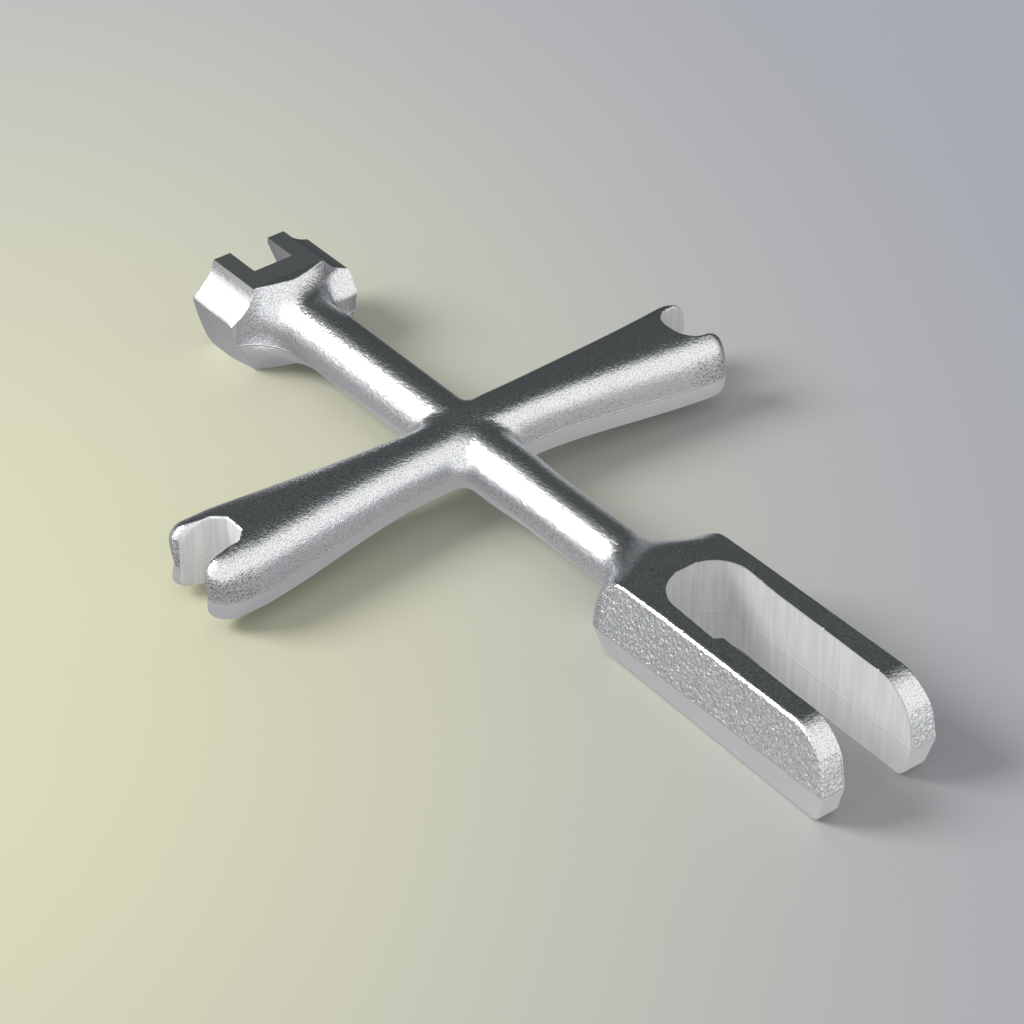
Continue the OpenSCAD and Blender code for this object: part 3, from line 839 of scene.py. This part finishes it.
def cast_skin(context):
    """The whole casting as one grained skin, kept for the operators that take their regions from it."""
    if skin:
        return skin
    f = Form(context.scene.wrench_sizes)
    finish = context.scene.wrench_finish
    step = finish.mesh_step / MM
    low = np.array([PRONG_LOW[0], LONG_JAW_LOW[1], 0.0]) - MARGIN
    high = np.array([TINE_HIGH[0], SHORT_JAW_HIGH[1], TINE_HIGH[2]]) + MARGIN
    lines = [grid_lines(low[a], high[a], [at for axis, at, _ in CUTS if axis == a], step) for a in range(3)]
    points, quads = skin_net(f, lines, CUTS)
    normals = slope(f, points)
    normals /= np.maximum(np.linalg.norm(normals, axis=1), 1e-6)[:, None]
    masks = surface_masks(f, points, normals)
    mesh = mesh_of("whole skin", (points + HUB) * MM, quads)
    for name, values in zip(("pebble", "inner", "rise"), masks):
        paint(mesh, name, values)
    rough = bpy.data.objects.new("whole skin", mesh)
    context.scene.collection.objects.link(rough)
    tree = grain_tree()
    modifier = rough.modifiers.new("grain", "NODES")
    modifier.node_group = tree
    values = {"Size": finish.pebble, "Depth": finish.pebble_depth, "Metal": metal("pebbled_metal", finish)}
    for item in tree.interface.items_tree:
        if item.in_out == "INPUT" and item.name in values:
            modifier[item.identifier] = values[item.name]
    graph = context.evaluated_depsgraph_get()
    grown = bpy.data.meshes.new_from_object(rough.evaluated_get(graph), depsgraph=graph)
    rough.modifiers.remove(modifier)
    co = np.empty(len(grown.vertices) * 3, np.float32)
    grown.vertices.foreach_get("co", co)
    grown.set_sharp_from_angle(angle=SHARP)
    no = np.empty(len(grown.loops) * 3, np.float32)
    grown.corner_normals.foreach_get("vector", no)
    bpy.data.objects.remove(rough)
    grid = co.reshape(-1, 3).astype(float)
    for axis, at, applies in CUTS:
        held = (np.abs(points[:, axis] - at) < 1e-6) & applies(points)
        grid[held, axis] = (at + HUB[axis]) * MM
    skin.update(points=grid, quads=quads, normals=no.reshape(-1, 4, 3), plan=points, masks=masks)
    return skin


def loops_on_edge(faces):
    """The rim of an open patch of faces, as closed loops that run against the faces' own turn."""
    a = faces.ravel()
    b = np.roll(faces, -1, axis=1).ravel()
    forward = set(zip(a.tolist(), b.tolist()))
    follow = {}
    for i, j in forward:
        if (j, i) not in forward:
            follow.setdefault(j, []).append(i)
    loops = []
    while follow:
        start = next(iter(follow))
        loop = [start]
        while True:
            ways = follow[loop[-1]]
            step = ways.pop()
            if not ways:
                del follow[loop[-1]]
            if step == start:
                break
            loop.append(step)
        loops.append(loop)
    return loops


def region_piece(context, node, material_slot):
    """One node's stretch of the skin, closed with a flat face on each cut, standing for the node."""
    whole = cast_skin(context)
    middle = whole["plan"][whole["quads"]].mean(1)
    chosen = inside_node(node, middle[:, 0], middle[:, 1])
    used, mine = np.unique(whole["quads"][chosen], return_inverse=True)
    mine = mine.reshape(-1, 4)
    points = whole["points"][used]
    caps = loops_on_edge(mine)
    faces = mine.tolist() + caps
    mesh = bpy.data.meshes.new(node + "_skin")
    mesh.from_pydata(points, [], faces)
    for name, values in zip(("pebble", "inner", "rise"), whole["masks"]):
        paint(mesh, name, values[used])
    mesh.update()
    flat = [mesh.polygons[len(mine) + i].normal.copy() for i in range(len(caps))]
    corner_normals = whole["normals"][chosen].reshape(-1, 3).tolist()
    for cap, normal in zip(caps, flat):
        corner_normals += [tuple(normal)] * len(cap)
    mesh.normals_split_custom_set(corner_normals)
    mesh.materials.append(metal(material_slot, context.scene.wrench_finish))
    piece = bpy.data.objects.new(node + "_skin", mesh)
    context.scene.collection.objects.link(piece)
    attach(piece, "root")
    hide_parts(node)


class WRENCH_OT_bars(bpy.types.Operator):
    """Make the hub and the two bars of the cross"""
    bl_idname = "wrench.bars"
    bl_label = "Hub and bars"

    def execute(self, context):
        for node in ("hub", "plug_shank", "fork_shank"):
            region_piece(context, node, "cast_metal")
        return {"FINISHED"}


class WRENCH_OT_plug_end(bpy.types.Operator):
    """Make the plug head with its neck and its two prongs"""
    bl_idname = "wrench.plug_end"
    bl_label = "Plug head"

    def execute(self, context):
        region_piece(context, "plug_neck", "cast_metal")
        for node in ("plug_head", "plug_prong_long_side", "plug_prong_short_side"):
            region_piece(context, node, "dressed_metal")
        return {"FINISHED"}


class WRENCH_OT_fork(bpy.types.Operator):
    """Make the fork: its yoke and its two tines"""
    bl_idname = "wrench.fork"
    bl_label = "Fork"

    def execute(self, context):
        region_piece(context, "fork_yoke", "cast_metal")
        for node in ("fork_tine_long_side", "fork_tine_short_side"):
            region_piece(context, node, "pebbled_metal")
        return {"FINISHED"}


class WRENCH_OT_arms(bpy.types.Operator):
    """Make the long and the short arm, with the jaws of their mouths"""
    bl_idname = "wrench.arms"
    bl_label = "Arms"

    def execute(self, context):
        for arm in ("long_arm", "short_arm"):
            region_piece(context, arm, "cast_metal")
            for side in ("_jaw_fork_side", "_jaw_plug_side"):
                region_piece(context, arm + side, "pebbled_metal")
        return {"FINISHED"}


# The photo's camera, solved from the casting's own corners: where it stands, which way it looks, its lens
EYE = Vector((HUB[0] + 424.70, HUB[1] - 323.92, 391.65)) * MM
SIGHT = Vector((-0.63129, 0.49573, -0.59643))
LENS, SENSOR = 138.21, 36
# The key lamp: its place and size in metres, and its power in watts
KEY_PLACE, KEY_SIZE, KEY_POWER = (-0.50, -0.62, 0.62), 0.50, 10.5


# Directions along the bench: to the picture's right, away from the camera, and the level part of the sight
ACROSS, AWAY, BEYOND = (0.618, 0.786, 0.0), (-0.786, 0.618, 0.0), (-0.63, 0.50, 0.0)
# The studio: what the metal mirrors overhead and to the sides, what it mirrors beyond the wrench, and what
# lights the bench
SKY_BRIGHT, SKY_DARK, SKY_FILL = (1.15, 1.15, 1.16), (0.075, 0.084, 0.085), (0.74, 0.75, 0.79)
# The paper's colour in the middle of the painted warm pool of light and away from it
PAPER_PAINTED_POOL, PAPER_COOL = (0.49, 0.485, 0.335), (0.325, 0.33, 0.35)
# Painted reflection: the bench's colours for glossy rays only, which it also glows with: to the left, to the
# right, far from the wrench, and beyond it
BENCH_LEFT, BENCH_RIGHT, BENCH_WIDE = (0.44, 0.44, 0.445), (0.60, 0.60, 0.60), (0.90, 0.90, 0.90)
BENCH_BEYOND = (0.05, 0.055, 0.06)
# Half the bench's width in metres, and how many lines cross it
BENCH_REACH, BENCH_LINES = 3.0, 25


def make_camera(scene):
    camera = bpy.data.objects.new("camera", bpy.data.cameras.new("camera"))
    camera.data.lens = LENS
    camera.data.sensor_width = SENSOR
    right = SIGHT.cross(Vector((0, 0, 1))).normalized()
    up = right.cross(SIGHT)
    camera.matrix_world = Matrix.Translation(EYE) @ Matrix((right, up, -SIGHT)).transposed().to_4x4()
    camera.data.clip_start = 0.01
    scene.collection.objects.link(camera)
    scene.camera = camera


def make_lamp(scene):
    lamp = bpy.data.lights.new("key", "AREA")
    lamp.shape, lamp.size, lamp.energy = "DISK", KEY_SIZE, KEY_POWER
    holder = bpy.data.objects.new("key", lamp)
    holder.location = KEY_PLACE
    holder.rotation_euler = (-Vector(KEY_PLACE)).to_track_quat("-Z", "Y").to_euler()
    scene.collection.objects.link(holder)


def make_sky(scene):
    """A soft studio round the bench: bright overhead and to both sides, dark beyond the wrench."""
    world = bpy.data.worlds.new("studio")
    world.use_nodes = True
    g = Graph(world.node_tree)
    way = g.add("ShaderNodeTexCoord", out="Generated")
    level = g.add("ShaderNodeSeparateXYZ", {}, {0: way}, "Z")
    far = g.along(way, BEYOND)
    wall = g.step(far + 0.60 * level.math("MAXIMUM", level, 0.60), 0.66, 0.90)
    glow = g.tint(wall, SKY_BRIGHT, SKY_DARK)
    mirrored = g.add("ShaderNodeLightPath", out="Is Glossy Ray")
    glow = g.tint(mirrored, SKY_FILL, glow)
    back = g.add("ShaderNodeBackground", {}, {"Color": glow, "Strength": 1.0})
    g.add("ShaderNodeOutputWorld", {}, {"Surface": back})
    scene.world = world


def make_floor(scene):
    """Pale paper with a painted warm pool of light where the lamp falls on it, cooler away from it; for
    glossy rays it glows with a painted reflection.
    """
    steps = np.linspace(-BENCH_REACH, BENCH_REACH, BENCH_LINES)
    grid = np.stack(np.meshgrid(steps, steps, [0.0], indexing="ij"), -1).reshape(-1, 3)
    at = np.arange(BENCH_LINES ** 2).reshape(BENCH_LINES, BENCH_LINES)
    faces = np.stack([at[:-1, :-1], at[1:, :-1], at[1:, 1:], at[:-1, 1:]], -1).reshape(-1, 4)
    floor = bpy.data.objects.new("bench", mesh_of("bench", grid, faces))
    scene.collection.objects.link(floor)
    material = bpy.data.materials.new("bench_paper")
    material.use_nodes = True
    g = Graph(material.node_tree)
    where = g.add("ShaderNodeTexCoord", out="Object")
    across, away = g.along(where, ACROSS), g.along(where, AWAY)
    side, depth = across + 0.089, (away + 0.038) * 0.6
    # Painted pool of warm light, fading out from its middle across the paper
    share = g.step((side * side + depth * depth) ** 0.5, 0.0, 0.195)
    colour = g.tint(share, PAPER_PAINTED_POOL, PAPER_COOL)
    mirrored = g.add("ShaderNodeLightPath", out="Is Glossy Ray")
    span = g.add("ShaderNodeVectorMath", {"operation": "LENGTH"}, {0: where}, "Value")
    # Painted reflection: what glossy rays see of the bench, darker to the left, paler to the right and far
    # out, near black beyond the wrench
    painted_reflection = g.tint(g.step(across, -0.03, 0.10), BENCH_LEFT, BENCH_RIGHT)
    painted_reflection = g.tint(g.step(span, 0.07, 0.16), painted_reflection, BENCH_WIDE)
    painted_reflection = g.tint(g.step(away, 0.03, 0.10), painted_reflection, BENCH_BEYOND)
    paper = g.add("ShaderNodeBsdfDiffuse", {}, {"Color": g.tint(mirrored, colour, painted_reflection)})
    # For glossy rays the bench glows with the painted reflection, though it is no lamp
    glow = g.add("ShaderNodeEmission", {}, {"Color": painted_reflection})
    shader = g.add("ShaderNodeMixShader", {}, {0: mirrored * 0.8, 1: paper, 2: glow})
    g.add("ShaderNodeOutputMaterial", {}, {"Surface": shader})
    floor.data.materials.append(material)


class WRENCH_OT_stage(bpy.types.Operator):
    """Lay the floor, set the lamp and the studio round it, and place the camera"""
    bl_idname = "wrench.stage"
    bl_label = "Stage"

    def execute(self, context):
        scene = context.scene
        scene.view_settings.view_transform = "Standard"
        make_floor(scene)
        make_sky(scene)
        make_lamp(scene)
        make_camera(scene)
        return {"FINISHED"}


OPERATORS = (WRENCH_OT_bars, WRENCH_OT_plug_end, WRENCH_OT_fork, WRENCH_OT_arms, WRENCH_OT_stage)


class WRENCH_PT_sidebar(bpy.types.Panel):
    """The wrench's pieces and sizes"""
    bl_idname = "WRENCH_PT_sidebar"
    bl_label = "Plug wrench"
    bl_space_type = "VIEW_3D"
    bl_region_type = "UI"
    bl_category = "Wrench"

    def draw(self, context):
        layout = self.layout
        for operator in OPERATORS:
            layout.operator(operator.bl_idname)
        for group in (context.scene.wrench_sizes, context.scene.wrench_finish):
            box = layout.box()
            for name in group.__annotations__:
                box.prop(group, name)


CLASSES = (WrenchSizes, WrenchFinish) + OPERATORS + (WRENCH_PT_sidebar,)


def register():
    for cls in CLASSES:
        bpy.utils.register_class(cls)
    bpy.types.Scene.wrench_sizes = PointerProperty(type=WrenchSizes)
    bpy.types.Scene.wrench_finish = PointerProperty(type=WrenchFinish)


def unregister():
    del bpy.types.Scene.wrench_finish
    del bpy.types.Scene.wrench_sizes
    for cls in reversed(CLASSES):
        bpy.utils.unregister_class(cls)


def main():
    register()
    for operator in OPERATORS:
        group, name = operator.bl_idname.split(".")
        getattr(getattr(bpy.ops, group), name)()


if __name__ == "__main__":
    main()
